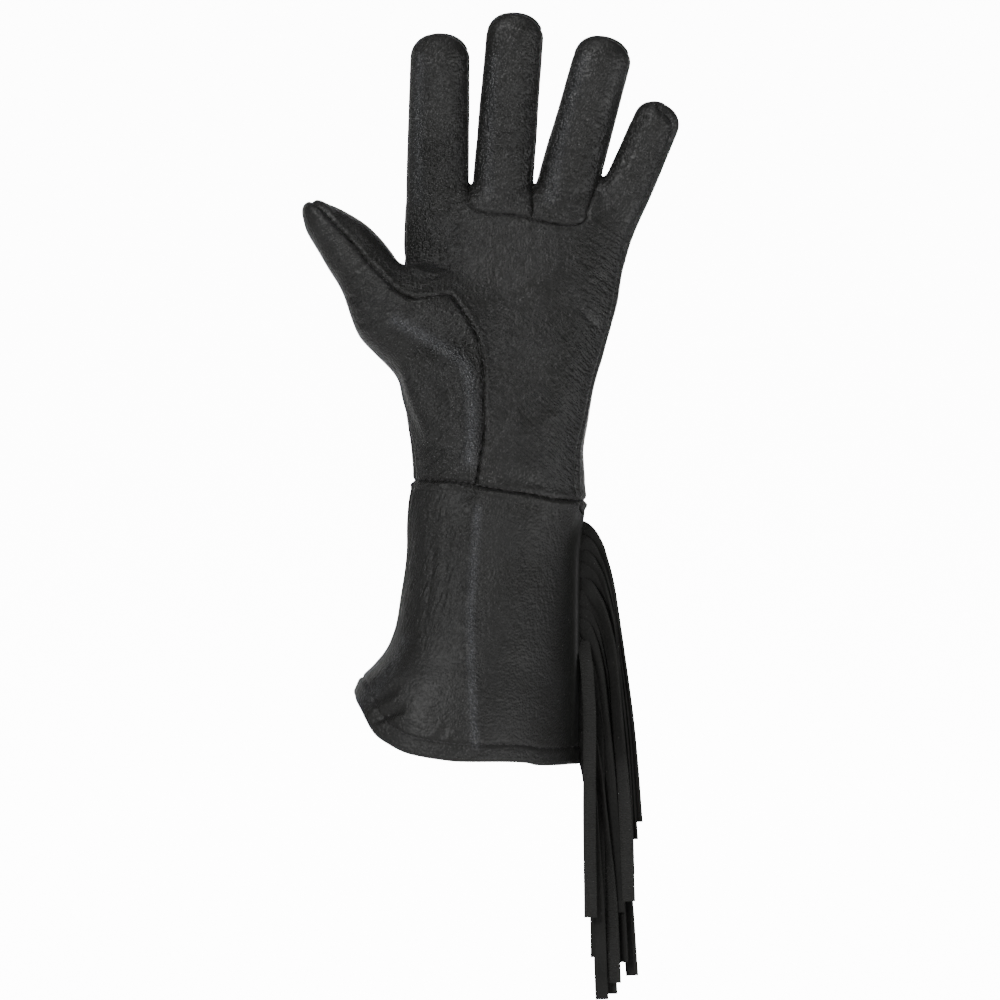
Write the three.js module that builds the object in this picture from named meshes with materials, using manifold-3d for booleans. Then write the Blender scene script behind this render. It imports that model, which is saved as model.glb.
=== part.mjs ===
import * as THREE from "three";
import { mergeVertices } from "three/addons/utils/BufferGeometryUtils.js";
import Module from "manifold-3d";

const wasm = await Module();
wasm.setup();

// Driving sizes, in millimetres.
// X runs towards the little finger, Y towards the back of the hand, Z towards the fingertips.
// The origin is the middle of the wrist opening, at the wrist seam.
const HAND = 100; // palm width, the unit of the section tables
const LEATHER = 1.3; // wall of the glove
const SEAM_GAP = 0.3; // clearance between two panels
const FINGER_WIDTH = 26;
const LITTLE_WIDTH = 21.2;
const FINGER_DEPTH = 22;
const FINGER_CURL = 6; // how far the fingertips lean towards the palm
const HEM_TURN = 6.5; // depth of the turned hem
const FORK_HALF = 6.2; // half the width of a gusset at the finger root
const FORK_SHORT = 8; // how far a gusset stops below a fingertip
const FRINGE_LEATHER = 1.2;
const STRIP_WIDTH = 5.6;
const STRIP_PITCH = 6.15;
const FRINGE_TOP = -18.5;
const SEAM_EDGE = 34.6; // outer edge of the sewn side seam of the cuff

// Height, left edge, right edge, front and back, as shares of HAND, then how square the
// little-finger side is. From the hem up to the crotches of the fingers.
const TRUNK = [
  [-1.31, -0.7, 0.322, -0.49, 0.47, 1.9],
  [-1.1, -0.68, 0.322, -0.475, 0.455, 1.9],
  [-0.895, -0.625, 0.322, -0.435, 0.415, 1.9],
  [-0.845, -0.6, 0.322, -0.42, 0.4, 1.9],
  [-0.788, -0.543, 0.322, -0.4, 0.382, 1.9],
  [-0.72, -0.489, 0.322, -0.382, 0.366, 1.9],
  [-0.66, -0.462, 0.322, -0.367, 0.352, 1.9],
  [-0.48, -0.426, 0.323, -0.33, 0.318, 1.95],
  [-0.3, -0.402, 0.332, -0.296, 0.288, 2],
  [-0.15, -0.4, 0.364, -0.278, 0.272, 2.05],
  [-0.06, -0.392, 0.386, -0.268, 0.266, 2.15],
  [0.02, -0.374, 0.384, -0.26, 0.26, 2.2],
  [0.15, -0.379, 0.377, -0.25, 0.245, 2.3],
  [0.28, -0.397, 0.397, -0.25, 0.226, 2.3],
  [0.42, -0.415, 0.421, -0.244, 0.208, 2.3],
  [0.58, -0.4, 0.466, -0.228, 0.19, 2.3],
  [0.76, -0.41, 0.514, -0.202, 0.174, 2.3],
  [0.93, -0.418, 0.545, -0.178, 0.162, 2.3],
  [1.06, -0.405, 0.57, -0.156, 0.15, 2.3],
  [1.17, -0.395, 0.58, -0.136, 0.132, 2.3],
  [1.25, -0.375, 0.54, -0.115, 0.112, 2.3],
  [1.285, -0.34, 0.47, -0.09, 0.09, 2.3],
  [1.31, -0.25, 0.4, -0.05, 0.05, 2.3],
];

// Upper edge (x, z), lower edge (x, z), front and back, as shares of HAND.
const THUMB = [
  [-0.02, 0.72, -0.28, 0.2, -0.22, 0.15],
  [-0.2, 0.9, -0.42, 0.4, -0.262, 0.14],
  [-0.33, 0.965, -0.503, 0.545, -0.275, 0.1],
  [-0.425, 0.985, -0.606, 0.655, -0.275, 0.055],
  [-0.514, 1.077, -0.668, 0.811, -0.26, 0.018],
  [-0.631, 1.175, -0.742, 0.947, -0.245, -0.018],
  [-0.745, 1.232, -0.8, 1.045, -0.237, -0.028],
  [-0.815, 1.245, -0.838, 1.11, -0.222, -0.048],
  [-0.853, 1.225, -0.856, 1.17, -0.182, -0.09],
];

// Share of the finger's length, then of its width, then of its depth.
const FINGER = [
  [0, 1, 1],
  [0.36, 1.03, 0.98],
  [0.7, 1.0, 0.92],
  [0.87, 0.96, 0.84],
  [0.93, 0.91, 0.77],
  [0.975, 0.68, 0.58],
  [1, 0.3, 0.26],
];

// Root and tip of each finger (x, z), as shares of HAND, and its width.
const FINGERS = {
  index: { root: [-0.274, 0.95], tip: [-0.253, 1.982], width: 1.015 * FINGER_WIDTH },
  middle: { root: [-0.008, 0.98], tip: [0.082, 2.074], width: 0.977 * FINGER_WIDTH },
  ring: { root: [0.213, 0.98], tip: [0.484, 1.966], width: 0.985 * FINGER_WIDTH },
  little: { root: [0.4, 0.93], tip: [0.734, 1.672], width: LITTLE_WIDTH },
};
for (const one of Object.values(FINGERS)) {
  one.root = one.root.map((share) => share * HAND);
  one.tip = one.tip.map((share) => share * HAND);
}

// Seam lines and the hem, as (x, z) points in shares of HAND.
const inHands = (point) => point.map((share) => share * HAND);
const WRIST_SEAM = [
  [-0.6, 0.035],
  [-0.36, 0.02],
  [-0.16, 0.01],
  [-0.054, -0.012],
  [0.14, -0.04],
  [0.31, -0.066],
  [0.6, -0.064],
].map(inHands);
const THUMB_SEAM = [
  [-0.87, 1.3],
  [-0.813, 1.243],
  [-0.718, 1.144],
  [-0.576, 0.984],
  [-0.458, 0.861],
  [-0.409, 0.829],
  [-0.323, 0.819],
  [-0.249, 0.832],
  [-0.194, 0.814],
  [-0.135, 0.733],
  [-0.082, 0.61],
  [-0.064, 0.48],
  [-0.064, 0.24],
  [-0.081, 0.107],
  [-0.104, -0.03],
].map(inHands);
const THUMB_BACK_SEAM = [
  [-0.434, 1.08],
  [-0.414, 0.98],
  [-0.38, 0.84],
  [-0.356, 0.6],
  [-0.346, 0.3],
  [-0.334, -0.02],
].map(inHands);
const FINGER_ROOT_SEAM = [
  [-0.129, 1.274],
  [-0.119, 1.228],
  [-0.081, 1.199],
  [-0.004, 1.189],
  [0.149, 1.17],
  [0.292, 1.142],
  [0.349, 1.144],
  [0.387, 1.17],
  [0.401, 1.228],
  [0.431, 1.294],
  [0.46, 1.38],
].map(inHands);
const MIDDLE_RING_SEAM = [
  [0.154, 1.4],
  [0.15, 1.28],
  [0.149, 1.166],
].map(inHands);
const HEM = [
  [-1, -0.8],
  [-0.8, -0.86],
  [-0.626, -0.905],
  [-0.612, -0.952],
  [-0.582, -1.004],
  [-0.55, -1.071],
  [-0.482, -1.116],
  [-0.413, -1.151],
  [-0.337, -1.17],
  [-0.161, -1.192],
  [0.029, -1.194],
  [0.22, -1.212],
  [1, -1.212],
].map(inHands);

// How a strip falls away from its seam: drop, then reach, as shares of HAND.
const FALL = [
  [0.028, 0.037],
  [0.063, 0.062],
  [0.113, 0.088],
  [0.213, 0.12],
  [0.38, 0.149],
];

// Fringe strips from the top down: share of that reach, then end x, end z and depth as shares
// of HAND, then the turn of the hanging part and of the end in degrees.
const STRIPS = [
  [1, 0.607, -1.484, 0.01, 62, 30],
  [0.97, 0.594, -1.56, 0.015, 60, 40],
  [0.96, 0.578, -1.71, 0, 58, 30],
  [0.98, 0.536, -1.76, 0.02, 60, 50],
  [0.97, 0.572, -1.83, -0.05, 52, 4],
  [0.88, 0.504, -1.79, 0, 52, 40],
  [0.72, 0.466, -1.86, 0.01, 38, 50],
  [0.64, 0.53, -1.88, -0.02, 30, 30],
  [0.25, 0.403, -1.9, -0.08, 5, 3],
  [0.5, 0.444, -1.97, -0.01, 24, 20],
  [0.66, 0.5, -2.04, 0.03, 40, 45],
  [0.74, 0.546, -2.1, 0, 58, 40],
  [0.9, 0.592, -2.16, 0.03, 60, 30],
  [0.4, 0.43, -2.08, 0.03, 45, 35],
  [0.62, 0.516, -2.19, -0.02, 50, 20],
  [0.52, 0.496, -2.24, 0.01, 45, 25],
  [0.36, 0.458, -2.262, -0.035, 30, 5],
];

function closed(positions, triangles) {
  const make = (order) =>
    new wasm.Manifold(
      new wasm.Mesh({
        numProp: 3,
        vertProperties: new Float32Array(positions),
        triVerts: new Uint32Array(order),
      }),
    );
  const made = make(triangles);
  return made.volume() < 0 ? make([...triangles].reverse()) : made;
}

// A closed body through rings that all have the same number of points.
function skin(rings) {
  const count = rings[0].length;
  const positions = rings.flat().flat();
  const triangles = [];
  for (let row = 0; row + 1 < rings.length; row++) {
    for (let k = 0; k < count; k++) {
      const a = row * count + k;
      const b = row * count + ((k + 1) % count);
      triangles.push(a, b, a + count, b, b + count, a + count);
    }
  }
  for (const [row, turn] of [
    [0, false],
    [rings.length - 1, true],
  ]) {
    const hub = positions.length / 3;
    const middle = [0, 1, 2].map(
      (axis) => rings[row].reduce((sum, p) => sum + p[axis], 0) / count,
    );
    positions.push(...middle);
    for (let k = 0; k < count; k++) {
      const a = row * count + k;
      const b = row * count + ((k + 1) % count);
      triangles.push(...(turn ? [hub, a, b] : [hub, b, a]));
    }
  }
  return closed(positions, triangles);
}

// One ring between two edge points, as deep as front and back say.
function ring(left, right, front, back, count, powers, relief) {
  const points = [];
  for (let k = 0; k < count; k++) {
    const angle = (2 * Math.PI * (k + 0.5)) / count;
    const c = Math.cos(angle);
    const s = Math.sin(angle);
    const power = 2 / (c > 0 ? powers[1] : powers[0]);
    const across = Math.sign(c) * Math.abs(c) ** power;
    const deep = Math.sign(s) * Math.abs(s) ** power;
    const x = (left[0] + right[0] + across * (right[0] - left[0])) / 2;
    const z = (left[1] + right[1] + across * (right[1] - left[1])) / 2;
    const y = (front + back + deep * (back - front)) / 2;
    const lift = relief && s < 0 ? relief(x, z) * Math.min(1, -1.6 * s) : 0;
    points.push([x, y + lift, z]);
  }
  return points;
}

function between(pairs, at) {
  if (at <= pairs[0][0]) return pairs[0][1];
  for (let i = 1; i < pairs.length; i++) {
    const [x0, y0] = pairs[i - 1];
    const [x1, y1] = pairs[i];
    if (at <= x1) return y0 + ((y1 - y0) * (at - x0)) / (x1 - x0);
  }
  return pairs[pairs.length - 1][1];
}

const bump = (distance, width) => Math.exp(-((distance / (width * HAND)) ** 2));

// Where the crease down the front of the cuff runs: height, then x.
const CREASE = [
  [-1.04, -0.108],
  [-0.51, -0.116],
  [-0.32, -0.101],
  [-0.11, -0.056],
  [0, -0.03],
].map(inHands);

// The dents and folds of the palm side: how far each pushes the leather in, as a share of HAND.
const DENTS = { hollow: 0.032, heel: -0.016, wrist: 0.014, ridge: -0.018, valley: 0.012, corner: 0.022 };

function palmRelief(x, z) {
  const below = Math.min(1, Math.max(0, (-0.02 * HAND - z) / (0.14 * HAND)));
  const crease = x - between(CREASE, z);
  const valleys = bump(crease - 0.15 * HAND, 0.09) + bump(crease + 0.13 * HAND, 0.08);
  const share =
    DENTS.hollow * bump(x - 0.1 * HAND, 0.24) * bump(z - 0.58 * HAND, 0.3) +
    DENTS.heel * bump(x - 0.27 * HAND, 0.12) * bump(z - 0.34 * HAND, 0.24) +
    DENTS.wrist * bump(z + 0.02 * HAND, 0.07) +
    below * (DENTS.ridge * bump(crease, 0.05) + DENTS.valley * valleys) +
    DENTS.corner * bump(x + 0.5 * HAND, 0.07) * bump(z + 1.01 * HAND, 0.13);
  return share * HAND;
}

const TOP = TRUNK[TRUNK.length - 1][0];

function trunk(inset) {
  const rings = TRUNK.map(([height, left, right, front, back, square]) => {
    const z = height * HAND - (height > 0 ? (inset * height) / TOP : 0);
    return ring(
      [left * HAND + inset, z],
      [right * HAND - inset, z],
      front * HAND + inset,
      back * HAND - inset,
      24,
      [2.15, square],
      palmRelief,
    );
  });
  return skin(rings);
}

function thumb(inset) {
  const heel = [-0.15 * HAND, 0.46 * HAND];
  const keep = 1 - inset / HAND;
  const rings = THUMB.map(([ux, uz, lx, lz, front, back]) => {
    const upper = [ux * HAND, uz * HAND];
    const lower = [lx * HAND, lz * HAND];
    const span = Math.hypot(upper[0] - lower[0], upper[1] - lower[1]);
    const middle = [0, 1].map(
      (i) => heel[i] + keep * ((upper[i] + lower[i]) / 2 - heel[i]),
    );
    const half = [0, 1].map(
      (i) => ((upper[i] - lower[i]) / 2) * (1 - (2 * inset) / span),
    );
    return ring(
      [middle[0] - half[0], middle[1] - half[1]],
      [middle[0] + half[0], middle[1] + half[1]],
      front * HAND + inset,
      back * HAND - inset,
      17,
      [2.2, 2.2],
    );
  });
  return skin(rings);
}

// How far the middle of a finger leans towards the palm at a height.
const leanAt = (z) => -FINGER_CURL * Math.max(0, z / HAND - 1.05) ** 1.7;

function finger({ root, tip, width }, inset) {
  const long = Math.hypot(tip[0] - root[0], tip[1] - root[1]);
  const ahead = [(tip[0] - root[0]) / long, (tip[1] - root[1]) / long];
  const depth = FINGER_DEPTH * (width / FINGER_WIDTH);
  const rings = FINGER.map(([along, wide, deep]) => {
    const reach = along * (long - inset);
    const middle = [root[0] + ahead[0] * reach, root[1] + ahead[1] * reach];
    const half = (wide * (width - 2 * inset)) / 2;
    const lean = leanAt(middle[1]);
    const thick = (deep * (depth - 2 * inset)) / 2;
    return ring(
      [middle[0] - ahead[1] * half, middle[1] + ahead[0] * half],
      [middle[0] + ahead[1] * half, middle[1] - ahead[0] * half],
      lean - thick,
      lean + thick,
      13,
      [2.25, 2.25],
    );
  });
  return skin(rings);
}

// An outline in (x, z), taken through from one depth to another.
function through(outline, from = -HAND, to = HAND) {
  const shape = new THREE.Shape(outline.map(([x, z]) => new THREE.Vector2(x, z)));
  const geometry = new THREE.ExtrudeGeometry(shape, {
    depth: to - from,
    bevelEnabled: false,
  });
  geometry.rotateX(Math.PI / 2);
  geometry.translate(0, to, 0);
  geometry.deleteAttribute("normal");
  geometry.deleteAttribute("uv");
  const merged = mergeVertices(geometry, 1e-4);
  return closed([...merged.attributes.position.array], [...merged.index.array]);
}

// A thin cut along a line of (x, z) points.
function cutAlong(line, from = -HAND, to = HAND) {
  const left = [];
  const right = [];
  line.forEach(([x, z], i) => {
    const before = line[Math.max(0, i - 1)];
    const after = line[Math.min(line.length - 1, i + 1)];
    const long = Math.hypot(after[0] - before[0], after[1] - before[1]);
    const nx = (-(after[1] - before[1]) / long) * (SEAM_GAP / 2);
    const nz = ((after[0] - before[0]) / long) * (SEAM_GAP / 2);
    left.push([x + nx, z + nz]);
    right.unshift([x - nx, z - nz]);
  });
  return through([...left, ...right], from, to);
}

const SHEET_X = [-1, -0.6, -0.53, -0.47, -0.41, -0.2, 0.2, 0.6, 1].map((share) => share * HAND);
const SHEET_Z = [-1.4, -0.6, -0.16, -0.06, 0.02, 0.6, 1, 1.3, 1.5, 1.7, 1.9, 2.25].map(
  (share) => share * HAND,
);

// The body between two depths that change over the glove.
function sheet(low, high) {
  const positions = [];
  const triangles = [];
  const wide = SHEET_X.length;
  const tall = SHEET_Z.length;
  for (const level of [low, high]) {
    for (const z of SHEET_Z) {
      for (const x of SHEET_X) positions.push(x, level(x, z), z);
    }
  }
  const top = wide * tall;
  for (let r = 0; r + 1 < tall; r++) {
    for (let c = 0; c + 1 < wide; c++) {
      const a = r * wide + c;
      triangles.push(a, a + 1, a + wide, a + 1, a + wide + 1, a + wide);
      triangles.push(top + a, top + a + wide, top + a + 1);
      triangles.push(top + a + 1, top + a + wide, top + a + wide + 1);
    }
  }
  const side = (a, b) => triangles.push(a, top + a, b, b, top + a, top + b);
  for (let c = 0; c + 1 < wide; c++) {
    side(c, c + 1);
    side((tall - 1) * wide + c + 1, (tall - 1) * wide + c);
  }
  for (let r = 0; r + 1 < tall; r++) {
    side((r + 1) * wide, r * wide);
    side(r * wide + wide - 1, (r + 1) * wide + wide - 1);
  }
  return closed(positions, triangles);
}

// How far the side seams lie towards the palm side, against height, as shares of HAND.
const LITTLE_SIDE = [
  [-0.16, 0],
  [-0.1, -0.09],
  [0, -0.128],
  [0.33, -0.1],
  [0.94, -0.058],
  [1.7, -0.052],
].map(inHands);
const THUMB_SIDE = [
  [-0.6, -0.05],
  [0.02, -0.06],
  [0.6, -0.03],
].map(inHands);
const THUMB_DEPTH = -0.12;

// The depth at which the palm side meets the back of the hand.
function sideSeam(x, z) {
  if (x > 0) return leanAt(z) + between(LITTLE_SIDE, z);
  const edge = leanAt(z) + between(THUMB_SIDE, z);
  const towardsThumb = Math.min(1, Math.max(0, -0.41 - x / HAND) / 0.12);
  return z > 0.4 * HAND ? edge + towardsThumb * (THUMB_DEPTH * HAND - edge) : edge;
}

const centreline = ({ root, tip }, z) =>
  root[0] + ((tip[0] - root[0]) * (z - root[1])) / (tip[1] - root[1]);

// The space that a gusset between two fingers takes up, grown by a margin.
function forkSpace(left, right, lowest, patch, grow) {
  const leftTop = left.tip[1] - FORK_SHORT;
  const rightTop = right.tip[1] - FORK_SHORT;
  const gapAt = (z) => (centreline(left, z) + centreline(right, z)) / 2;
  const outline = [
    [centreline(left, lowest) - grow, lowest - grow],
    [centreline(right, lowest) + grow, lowest - grow],
    [centreline(right, rightTop) + grow, rightTop + grow],
    [gapAt(rightTop), rightTop + grow],
    [gapAt(leftTop), leftTop + grow],
    [centreline(left, leftTop) - grow, leftTop + grow],
  ];
  const halfAt = (z) =>
    grow + between([[1.32 * HAND, FORK_HALF], [Math.min(leftTop, rightTop), FORK_HALF / 2]], z);
  const slab = sheet(
    (x, z) => leanAt(z) - halfAt(z),
    (x, z) => leanAt(z) + halfAt(z),
  );
  let space = through(outline).intersect(slab);
  if (patch) {
    const middle = [0, 1].map((i) => patch.reduce((sum, p) => sum + p[i], 0) / patch.length);
    const grown = patch.map(([x, z]) => {
      const far = Math.hypot(x - middle[0], z - middle[1]);
      return [x + ((x - middle[0]) / far) * grow, z + ((z - middle[1]) / far) * grow];
    });
    space = space.add(through(grown, -HAND, 0));
  }
  return space;
}

function largest(solid) {
  return solid.decompose().sort((a, b) => b.volume() - a.volume())[0];
}

function box(from, to) {
  const geometry = new THREE.BoxGeometry(...from.map((low, i) => to[i] - low));
  geometry.translate(...from.map((low, i) => (low + to[i]) / 2));
  geometry.deleteAttribute("normal");
  geometry.deleteAttribute("uv");
  const merged = mergeVertices(geometry, 1e-4);
  return closed([...merged.attributes.position.array], [...merged.index.array]);
}

// Half the width of the slot in the side seam that holds the fringe.
const SLOT_HALF = FRINGE_LEATHER / 2 + SEAM_GAP;

// The whole glove as one hollow wall, before it is cut into panels.
function gloveWall() {
  const bodies = (inset) =>
    Object.values(FINGERS).reduce(
      (sum, one) => sum.add(finger(one, inset)),
      trunk(inset).add(thumb(inset)),
    );
  const flange = box(
    [0.26 * HAND, -SLOT_HALF - LEATHER, -1.3 * HAND],
    [SEAM_EDGE, SLOT_HALF + LEATHER, FRINGE_TOP + STRIP_PITCH / 2 + LEATHER],
  );
  const over = [[1, 2.3], [-1, 2.3]].map(inHands);
  const aboveHem = through([...HEM, ...over]);
  const sidewards = 0.8 * HEM_TURN;
  const upwards = 0.6 * HEM_TURN;
  const aboveTurn = through([
    ...HEM.map(([x, z]) =>
      x < -0.5 * HAND ? [x + sidewards, z + upwards] : [x, z + HEM_TURN],
    ),
    ...over,
  ]);
  const hollow = bodies(LEATHER).intersect(aboveTurn).add(trunk(2 * LEATHER));
  return bodies(0).add(flange).subtract(hollow).intersect(aboveHem);
}

const HEADER_EDGE = SEAM_EDGE + 1.6; // where the strips leave the header
const HEADER_DEPTH = 5.2; // how far the header reaches into the side seam

// One strip of the fringe, from inside the side seam to its cut end.
function fringeStrip(index) {
  const [reach, ...shares] = STRIPS[index].slice(0, 4);
  const [endX, endZ, depth] = shares.map((share) => share * HAND);
  const [turn, endTurn] = STRIPS[index].slice(4).map(THREE.MathUtils.degToRad);
  const top = FRINGE_TOP - STRIP_PITCH * index;
  const out = HEADER_EDGE + 0.4;
  const fall = FALL.map(([drop, away], step) => [
    out + reach * away * HAND,
    (depth * (step + 1)) / FALL.length,
    top - drop * HAND,
  ]);
  const [lowX, , lowZ] = fall.at(-1);
  const path = new THREE.CatmullRomCurve3(
    [
      [HEADER_EDGE - HEADER_DEPTH + 0.4, 0, top],
      [out, 0, top - 0.2],
      ...fall,
      [lowX + 0.68 * (endX - lowX), depth, (lowZ + endZ) / 2],
      [endX, depth, endZ],
    ].map((p) => new THREE.Vector3(...p)),
    false,
    "centripetal",
  );
  const long = path.getLength();
  const near = [0, 1, 2, 4.4].map((widths) => (widths * (HEADER_DEPTH + 0.2)) / long);
  const rings = [];
  for (const t of [...near, 0.6, 1]) {
    const middle = path.getPointAt(t);
    const ahead = path.getTangentAt(t);
    const width = new THREE.Vector3(0, 1, 0).cross(ahead).normalize();
    const turned = turn * THREE.MathUtils.smoothstep(t, near[1], near[3]);
    const turnedBack = (endTurn - turn) * THREE.MathUtils.smoothstep(t, 0.45, 0.95);
    width.applyAxisAngle(ahead, turned + turnedBack);
    const thick = new THREE.Vector3().crossVectors(ahead, width).normalize();
    const corner = (w, h) =>
      middle
        .clone()
        .addScaledVector(width, (w * STRIP_WIDTH) / 2)
        .addScaledVector(thick, (h * FRINGE_LEATHER) / 2)
        .toArray();
    rings.push([corner(-1, -1), corner(1, -1), corner(1, 1), corner(-1, 1)]);
  }
  return skin(rings);
}

function fringe() {
  const lowest = FRINGE_TOP - STRIP_PITCH * (STRIPS.length - 1);
  let made = box(
    [HEADER_EDGE - HEADER_DEPTH, -FRINGE_LEATHER / 2, lowest - STRIP_WIDTH / 2],
    [HEADER_EDGE, FRINGE_LEATHER / 2, FRINGE_TOP + STRIP_WIDTH / 2],
  );
  STRIPS.forEach((strip, index) => {
    made = made.add(fringeStrip(index));
  });
  return largest(made);
}

function panels() {
  const { index, middle, ring: third, little } = FINGERS;
  const patch = [
    [-0.132, 1.36],
    [-0.09, 1.36],
    [-0.094, 1.275],
    [-0.114, 1.224],
    [-0.13, 1.27],
  ].map(inHands);
  const lowest = 1.21 * HAND;
  const forks = [
    ["fork_index_middle", index, middle, patch],
    ["fork_middle_ring", middle, third, null],
    ["fork_ring_little", third, little, null],
  ];
  const whole = gloveWall();
  let rest = whole;
  const found = {};
  for (const [name, left, right, front] of forks) {
    found[name] = largest(whole.intersect(forkSpace(left, right, lowest, front, 0)));
    rest = rest.subtract(forkSpace(left, right, lowest, front, SEAM_GAP));
  }
  const thumbSide = through([
    [-1.4 * HAND, 2 * HAND],
    ...THUMB_SEAM.slice(0, 5),
    ...[[-0.2, 0.6], [-0.2, 0.01], [-0.36, 0.02], [-1.4, 0.02]].map(inHands),
  ]);
  const half = SEAM_GAP / 2;
  const divider = sheet(
    (x, z) => sideSeam(x, z) - half,
    (x, z) => sideSeam(x, z) + half,
  ).subtract(thumbSide);
  const front = sheet(
    () => -1.2 * HAND,
    (x, z) => sideSeam(x, z) + half,
  );
  const back = sheet(
    (x, z) => sideSeam(x, z) - half,
    () => 1.2 * HAND,
  );
  const slot = box(
    [HEADER_EDGE - HEADER_DEPTH - SEAM_GAP, -SLOT_HALF, -1.3 * HAND],
    [HEADER_EDGE + HEADER_DEPTH, SLOT_HALF, FRINGE_TOP + STRIP_WIDTH / 2 + SEAM_GAP],
  );
  const cuts = divider
    .add(slot)
    .add(cutAlong(WRIST_SEAM))
    .add(cutAlong(THUMB_SEAM).intersect(front))
    .add(cutAlong(THUMB_BACK_SEAM).intersect(back))
    .add(cutAlong(FINGER_ROOT_SEAM).intersect(front))
    .add(cutAlong(MIDDLE_RING_SEAM).intersect(front));
  const bodies = rest.subtract(cuts).decompose();
  // A point near each panel picks it out.
  const places = {
    palm_panel: [0.2, -0.21, 0.6],
    middle_front: [0.04, -0.12, 1.5],
    ring_front: [0.36, -0.12, 1.5],
    thumb_panel: [-0.55, -0.27, 0.8],
    back_panel: [0.1, 0.18, 0.6],
    cuff_front: [0.1, -0.32, -0.5],
    cuff_back: [0.1, 0.31, -0.5],
  };
  for (const [name, share] of Object.entries(places)) {
    const place = inHands(share);
    let best = Infinity;
    for (const body of bodies) {
      const points = body.getMesh().vertProperties;
      for (let i = 0; i < points.length; i += 3) {
        const far = Math.hypot(
          points[i] - place[0],
          points[i + 1] - place[1],
          points[i + 2] - place[2],
        );
        if (far < best) {
          best = far;
          found[name] = body;
        }
      }
    }
  }
  return found;
}

function asMesh(name, solid, colour, roughness) {
  const raw = solid.getMesh();
  const geometry = new THREE.BufferGeometry();
  geometry.setAttribute("position", new THREE.BufferAttribute(raw.vertProperties, 3));
  geometry.setIndex(new THREE.BufferAttribute(raw.triVerts, 1));
  geometry.computeVertexNormals();
  const material = new THREE.MeshStandardMaterial({ color: colour, roughness });
  const mesh = new THREE.Mesh(geometry, material);
  mesh.name = name;
  return mesh;
}

const glove = new THREE.Group();
for (const [name, solid] of Object.entries(panels())) {
  glove.add(asMesh(name, solid, 0x2b2b29, 0.55));
}
glove.add(asMesh("fringe", fringe(), 0x1a1a19, 0.8));

export default glove;
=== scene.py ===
"""A left-hand gauntlet glove of black leather with a fringed cuff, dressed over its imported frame.

The glove's skin is one smooth surface, worked out from the sections of the hand, the fingers,
the thumb and the cuff. It is cut along the seam lines into panels, and each panel gets its
seams, folds, wall and leather.
"""

import math

import bpy
import numpy as np
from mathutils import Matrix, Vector


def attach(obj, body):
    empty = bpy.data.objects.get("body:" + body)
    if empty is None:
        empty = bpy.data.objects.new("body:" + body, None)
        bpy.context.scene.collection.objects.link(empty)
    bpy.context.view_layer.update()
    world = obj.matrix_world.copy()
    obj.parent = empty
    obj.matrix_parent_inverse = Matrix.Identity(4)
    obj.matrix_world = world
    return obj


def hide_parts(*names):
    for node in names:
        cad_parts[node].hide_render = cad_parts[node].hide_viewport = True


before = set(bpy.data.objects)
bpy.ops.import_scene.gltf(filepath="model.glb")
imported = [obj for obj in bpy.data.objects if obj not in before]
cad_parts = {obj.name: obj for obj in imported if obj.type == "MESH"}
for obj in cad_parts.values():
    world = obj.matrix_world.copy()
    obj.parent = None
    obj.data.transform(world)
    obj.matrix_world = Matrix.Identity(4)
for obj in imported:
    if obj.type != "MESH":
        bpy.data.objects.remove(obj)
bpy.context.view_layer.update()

# Lengths are in millimetres. X runs to the little finger, Y to the back of the hand, Z up.
UNIT = 0.001
HAND = 100.0  # palm width, the unit of the section tables
LEATHER = 1.3
FINGER_DEPTH = 22.0
FINGER_CURL = 6.0
HEM_TURN = 6.5
FORK_HALF = 6.2
SEAM_EDGE = 34.6
FRINGE_LEATHER = 1.2
STRIP_WIDTH = 5.6
STRIP_PITCH = 6.15
FRINGE_TOP = -18.5
SKIN_STEP = 1.0  # spacing of the skin's mesh
SEAM_CUTS = ((0.0, -0.7, 0.7, -1.7, 1.7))  # where seams cut that mesh
PIXEL = 0.44  # millimetres to a pixel of the photograph
MIDDLE_PIXEL = (498, 485)  # the pixel where X and Z are nothing
FAR = 30.0  # the field of a form far away from it
NO_SEAM = 9.0  # the distance of a seam that isn't on this side
THUMB_SIDE_SQUARE = 2.15
FINGER_SQUARE = 2.2
# The flange of the side seam that holds the fringe.
FLANGE_HALF = 1.9
FLANGE_TOP = -13.5
FLANGE_ROOT = 26
# How far the side seam bends to the palm over a fingertip.
TIP_SHIFT = 3.4
LITTLE_TIP_SHIFT = 1.2
STRIP_STEPS = 120

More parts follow.
